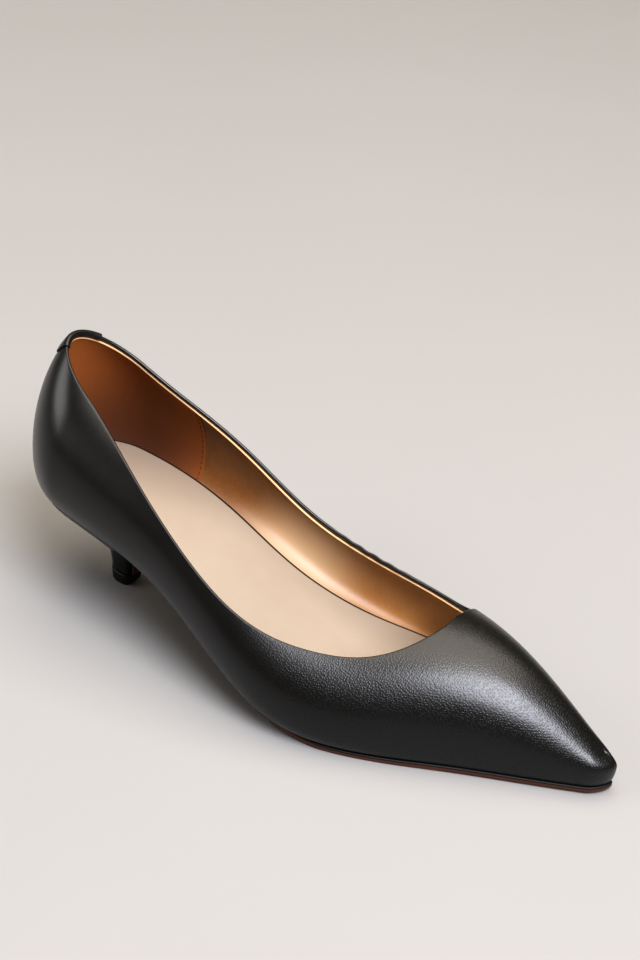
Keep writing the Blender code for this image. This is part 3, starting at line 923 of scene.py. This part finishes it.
outsole = {
    "thickness": 0.0026,
    "lip": 0.0006,
    "rounding": 0.0008,
    "flapThickness": 0.0014,
    "skiveLength": 0.0156,
    "toeOverhang": 0.0024,
    "flapInset": 0.0014,  # the heel's cover shows beside the flap
    "waistInset": 0.0024,  # the sole hides under the upper until the ball
    "tuckedUntil": 0.40,  # shares of the length between which the edge comes out
    "outAt": 0.62,
    "inkShare": 0.3,  # share of the edge's height that is black
    "clearance": 0.0003,
    "topPiece": 0.0048,
    "columns": 130,
    "flapRows": 50,
    "bendPasses": 20,  # rounds the bend from the waist into the breast
    "capRows": 9,
    "stemSide": -0.006,
}
breastHeight = float(featherHeight(seatFront)) - outsole["clearance"]


def squeezed(y, height):
    stem = outsole["stemSide"] * last["ballWidth"]
    return stem + (y - stem) * heelCurve["width"](height)


def smoothed(path, passes):
    for _ in range(passes):
        path[1:-1] = (path[:-2] + 6 * path[1:-1] + path[2:]) / 8
    return path


def plateGrids(levels, capRows):
    # A closed plate from open loops that run up one side, round an end and back
    half = len(levels[0]) // 2 + 1
    back = np.linspace(0, 1, capRows)[:, None]
    rims = [np.concatenate([loop[:-1], loop[-1] + (loop[0] - loop[-1]) * back]) for loop in levels]
    grids = [np.array(rims)]
    for loop in (levels[0], levels[-1]):
        low = loop[:half]
        high = loop[half - 1 :][::-1]
        grids.append(np.array([low + (high - low) * share for share in np.linspace(0, 1, capRows)]))
    return grids


def makeOutsole():
    lowest = (outsole["topPiece"] + 2 * outsole["clearance"]) / breastHeight
    heights = np.linspace(lowest, 1, outsole["flapRows"] + 1)[:-1]
    breast = heelCurve["front"](heights) * last["length"] + outsole["clearance"]
    flap = np.stack([breast, heights * breastHeight], -1)
    along = seatFront + (1 - seatFront) * np.sin(np.linspace(0, np.pi / 2, outsole["columns"] + 1))
    under = np.stack([along * last["length"], featherHeight(along) - outsole["clearance"]], -1)
    path = smoothed(np.concatenate([flap, under]), outsole["bendPasses"])
    edges = []
    for side in (-1, 1):
        narrowed = squeezed(featherSide(seatFront, side), heights) - side * outsole["lip"]
        edges.append(np.concatenate([narrowed, featherSide(along, side)]))
    run = runAlong(path)
    bend = run[len(heights)]
    tip = path[-1] + (path[-1] - path[-2]) / (run[-1] - run[-2]) * outsole["toeOverhang"]
    path = np.concatenate([path, tip[None]])
    reach = np.append(run, run[-1] + outsole["toeOverhang"])
    tangent = unit(np.gradient(path, reach, axis=0))
    lateral, medial = [np.stack([run, edge], -1) for edge in edges]
    outline = np.concatenate([lateral, medial[-2::-1]])
    ball = np.interp(outline[:, 0], reach, np.concatenate([0 * heights, along, [1.0]]))
    ball = np.clip((ball - outsole["tuckedUntil"]) / (outsole["outAt"] - outsole["tuckedUntil"]), 0, 1) ** 2
    tucked = np.where(outline[:, 0] < bend, outsole["flapInset"], outsole["waistInset"])
    lip = outsole["lip"] - (1 - ball) * (outsole["lip"] + tucked)

    def bent(loop, depthShare):
        place = loop[:, 0]
        share = softStep((place - bend) / outsole["skiveLength"] + 0.5)
        span = outsole["thickness"] - outsole["flapThickness"]
        depth = (outsole["flapThickness"] + span * share) * depthShare
        x, z, tx, tz = (np.interp(place, reach, line) for line in (*path.T, *tangent.T))
        return np.stack([x + depth * tz, loop[:, 1], np.maximum(z - depth * tx, 0)], -1) + shoeShift

    rounding = outsole["rounding"]
    black = outsole["inkShare"]
    steps = [(-0.3 * rounding, 0.0), (0.0, 0.1), (0.0, black - 0.04), (0.0, black + 0.04), (0.0, 0.55)]
    for turn in np.linspace(0.25, 1, 4) * np.pi / 2:
        steps.append((-rounding * (1 - math.cos(turn)), 0.62 + 0.38 * math.sin(turn)))
    levels = [bent(pushedOut(outline, (lip + push)[:, None], False), share) for push, share in steps]
    grids = plateGrids(levels, outsole["capRows"])
    shares = np.array([share for _, share in steps])
    ink = [(shares[:, None] < black) + 0 * grids[0][..., 0], 1 + 0 * grids[1][..., 0], 0 * grids[2][..., 0]]
    piece = meshFrom("outsoleLeather", grids, {"edge": ink})
    material = twoToneLeather(
        "soleBend",
        {
            "colour": "#5E3A28",
            "deepColour": "#452414",
            "inkColour": "#0B0A0A",
            "cloudMm": 18,
            "fibreMm": 0.5,
            "fibreDepth": 0.00006,
            "roughness": 0.45,
            "inkRoughness": 0.6,
            "coat": 0.0,
            "coatRoughness": 0.3,
        },
    )
    dress(piece, material, 40, ["outsole"])


makeOutsole()
print("outsole")

# Heel block in its leather cover, and the top piece under it

heel = {
    "level": 0.2,
    "tiltPower": 1.5,
    "rows": 70,
    "points": 72,  # even, so that a loop has a middle point
    "capRows": 5,
    "roundingPasses": 24,
    "roundBelow": 0.85,  # share of the seat's height under which the corners of the breast are rounded
    "roundEase": 0.3,
    "edgeBevel": 0.0004,
    "topPieceSpread": 0.0003,
    "topPieceRounding": 0.0006,
}


def heelLoop(height):
    turn = np.linspace(np.pi, 0, heel["points"] + 1)
    seat = seatFront * (1 - np.sin(turn))
    y = np.where(turn < np.pi / 2, featherSide(seat, -1), featherSide(seat, 1))
    back = heelCurve["back"](height)
    x = (back + seat / seatFront * (heelCurve["front"](height) - back)) * last["length"]
    tilt = max(0.0, (height - heel["level"]) / (1 - heel["level"])) ** heel["tiltPower"]
    z = height * breastHeight + (featherHeight(seat) - outsole["clearance"] - breastHeight) * tilt
    loop = np.stack([x, squeezed(y, height), z], -1)
    closed = np.concatenate([loop, loop[:1]])
    run = runAlong(closed)
    places = np.linspace(0, run[-1], len(loop) + 1)[:-1]
    even = np.stack([np.interp(places, run, line) for line in closed.T], -1)
    rounded = even
    for _ in range(heel["roundingPasses"]):
        rounded = (np.roll(rounded, 1, axis=0) + 2 * rounded + np.roll(rounded, -1, axis=0)) / 4
    share = np.clip((heel["roundBelow"] - height) / heel["roundEase"], 0, 1)
    return even + (rounded - even) * share + shoeShift


def makeHeel():
    lowest = (outsole["topPiece"] + outsole["clearance"]) / breastHeight
    loops = [heelLoop(height) for height in np.linspace(1, lowest, heel["rows"] + 1)]
    piece = meshFrom("heelCover", plateGrids(loops, heel["capRows"]))
    bevelled(piece, heel["edgeBevel"])
    material = nappaLeather(
        "heelCoverNappa",
        {
            "colour": "#141517",
            "grooveColour": "#0A0B0C",
            "grainMm": 0.6,  # drawn coarser, as on the upper
            "grainDepth": 0.00006,
            "grainBack": 0.25,
            "grainFrom": 0.0,
            "grainTo": 0.05,
            "roughness": 0.38,
            "specular": 0.5,
            "coat": 0.15,
            "coatRoughness": 0.25,
            "sheen": 0.05,
        },
    )
    dress(piece, material, 40, ["heel"])


def makeTopPiece():
    rounding = heel["topPieceRounding"]
    spread = heel["topPieceSpread"]
    height = outsole["topPiece"]
    steps = [(spread - rounding * 0.5, height), (spread, height - rounding * 0.5), (spread, rounding)]
    for turn in (0.33, 0.66, 1.0):
        angle = turn * np.pi / 2
        steps.append((spread - rounding * (1 - math.cos(angle)), rounding * (1 - math.sin(angle))))
    levels = []
    for push, z in steps:
        loop = heelLoop(z / breastHeight)[:, :2]
        levels.append(np.column_stack([pushedOut(loop, push, True), np.full(len(loop), z)]))
    piece = meshFrom("topPiece", plateGrids(levels, heel["capRows"]))
    # Moulded rubber: matt black, a little greyer than the leather
    material = plainFinish("topPieceRubber", "#1B1A1A", "#101010", 0.4, 0.00005, roughness=0.55, ior=1.5)
    dress(piece, material, 40, ["top_piece"])


makeHeel()
makeTopPiece()
print("heel and top piece")

# Back tab: a strip of the same leather folded over the back seam

tab = {
    "lateral": 0.0075,  # reach from the back seam
    "medial": 0.0105,
    "drop": 0.0055,
    "tuck": 0.0009,
    "thickness": 0.0006,
    "clearance": 0.0001,
    "wall": 0.0014,
    "columns": 20,
    "rows": 24,
    "foldRows": 14,
    "bevel": 0.0002,
}


def makeBackTab():
    bulge = last["bulgeGirth"]
    top = float(toplineGirth(np.array([0.0]), -1, last["throat"])[0][0])
    girths = np.linspace(bulge, top, 200)
    seam = lastPoint(0.0, girths, -1)
    run = runAlong(seam)
    rows = np.interp(np.linspace(run[-1] - tab["drop"], run[-1], tab["rows"] + 1), run, girths)[:, None]
    across = np.linspace(-1, 1, 2 * tab["columns"] + 1)[None, :]
    turn = (rows - bulge) / (1 - bulge) * np.pi / 2
    start = {name: float(curve(0.0)) for name, curve in lastCurve.items()}
    lateral = start["lateral"] + start["ridgeSide"] + start["lateralSwell"]
    medial = start["medial"] - start["ridgeSide"] + start["medialSwell"]
    reach = np.where(across < 0, lateral, medial) * last["ballWidth"] * np.cos(turn)
    kept = np.abs(across) * np.where(across < 0, tab["lateral"], tab["medial"]) / reach
    kept = np.minimum(kept, 0.97)
    along = last["seatRound"] / last["length"] * (1 - np.sqrt(1 - kept**2))
    rows = rows + 0 * across
    skin = np.where((across < 0)[..., None], lastPoint(along, rows, -1), lastPoint(along, rows, 1))
    downUp = np.gradient(skin, axis=0)
    normal = unit(np.cross(downUp, np.gradient(skin, axis=1)))
    normal = normal * -np.sign(normal[0, tab["columns"], 0])
    up = unit(downUp[-1])
    middle = skin[-1] - normal[-1] * tab["wall"] / 2
    radius = tab["wall"] / 2 + tab["clearance"]
    turns = np.linspace(0, np.pi, tab["foldRows"] + 2)[1:-1]
    fold = [middle + radius * (normal[-1] * math.cos(t) + up * math.sin(t)) for t in turns]
    tucked = skin[::-1] - normal[::-1] * (tab["wall"] + tab["clearance"])
    inside = tucked[: 1 + round(tab["rows"] * tab["tuck"] / tab["drop"])]
    grid = np.concatenate([skin + normal * tab["clearance"], fold, inside])
    away = unit(np.cross(np.gradient(grid, axis=0), np.gradient(grid, axis=1)))
    away = away * -np.sign(away[0, tab["columns"], 0])
    raised = grid + away * tab["thickness"]
    piece = meshFrom("backTab", plateBetween(grid, raised))
    bevelled(piece, tab["bevel"])
    dress(piece, bpy.data.materials["blackNappa"], 45, ["back_tab"])


makeBackTab()
print("back tab")

# Floor, light and camera of the photograph

stage = {
    "floorColour": "#908F8E",
    "floorDeepColour": "#8D8C8B",
    "floorHalf": 4.0,
    "mottleMm": 1000 / 6,
    "worldColour": "#E6D6BE",
    "worldStrength": 0.22,
}
lights = {
    # name: place, target, width, height, watts, colour
    "overhead": ((-0.05, 0.40, 2.30), (0.0, 0.0, 0.0), 2.4, 2.4, 60.0, "#FFF6EA"),
    "softboxRight": ((1.25, -0.78, 1.89), (0.02, 0.0, 0.03), 1.4, 1.3, 82.0, "#F4F6FF"),
    "windowLeft": ((-1.7, -1.1, 1.1), (0.0, 0.0, 0.03), 1.4, 1.1, 18.0, "#ECECEC"),
}
camera = {
    "azimuth": 29.14,  # degrees round from looking along +Y
    "elevation": 31.73,
    "roll": 6.17,
    "target": (0.0754, 0.0870, 0.020),  # in the last's own frame, from the back of the heel seat
    "distance": 0.8245,
    "focalPixels": 1905,
    "imageHeight": 960,
}


def makeFloor():
    half = stage["floorHalf"]
    corners = [[(-half, -half, 0), (half, -half, 0)], [(-half, half, 0), (half, half, 0)]]
    floor = meshFrom("floor", [np.array(corners, float)])
    if floor.data.polygons[0].normal.z < 0:
        floor.data.flip_normals()
    # Matt painted board: an even pale tone with a barely seen mottle
    material, tree, shader, coordinates = newMaterial("paintedBoard")
    mottle = noise(tree, coordinates, stage["mottleMm"], 3.0)
    tone = blend(tree, mottle, linear(stage["floorDeepColour"]), linear(stage["floorColour"]))
    feed(shader, {"Base Color": tone, "Roughness": 0.75, "Specular IOR Level": 0.25})
    floor.data.materials.append(material)


def makeLights():
    for name, (place, target, width, height, watts, colour) in lights.items():
        lamp = bpy.data.lights.new(name, "AREA")
        lamp.shape = "RECTANGLE"
        lamp.size = width
        lamp.size_y = height
        lamp.energy = watts
        lamp.color = linear(colour)[:3]
        obj = newObject(name, lamp)
        obj.location = place
        obj.rotation_mode = "QUATERNION"
        obj.rotation_quaternion = (Vector(target) - Vector(place)).to_track_quat("-Z", "Y")
    world = bpy.data.worlds.new("studio")
    world.use_nodes = True
    light = {"Color": linear(stage["worldColour"]), "Strength": stage["worldStrength"]}
    feed(world.node_tree.nodes["Background"], light)
    bpy.context.scene.world = world


def makeCamera():
    a, e, r = (math.radians(camera[name]) for name in ("azimuth", "elevation", "roll"))
    back = Vector((math.sin(a) * math.cos(e), -math.cos(a) * math.cos(e), math.sin(e)))
    levelRight = Vector((math.cos(a), math.sin(a), 0))
    levelUp = back.cross(levelRight)
    right = math.cos(r) * levelRight + math.sin(r) * levelUp
    up = math.cos(r) * levelUp - math.sin(r) * levelRight
    data = bpy.data.cameras.new("photoCamera")
    data.sensor_width = 36
    data.lens = camera["focalPixels"] / camera["imageHeight"] * data.sensor_width
    data.clip_start = 0.05
    data.clip_end = 50
    obj = newObject("photoCamera", data)
    target = Vector(camera["target"]) + Vector(shoeShift)
    obj.rotation_mode = "QUATERNION"
    obj.rotation_quaternion = Matrix((right, up, back)).transposed().to_quaternion()
    obj.location = target + back * camera["distance"]
    bpy.context.scene.camera = obj


makeFloor()
makeLights()
makeCamera()
bpy.context.scene.view_settings.view_transform = "Standard"
bpy.context.scene.view_settings.look = "High Contrast"
print("floor, lights and camera")
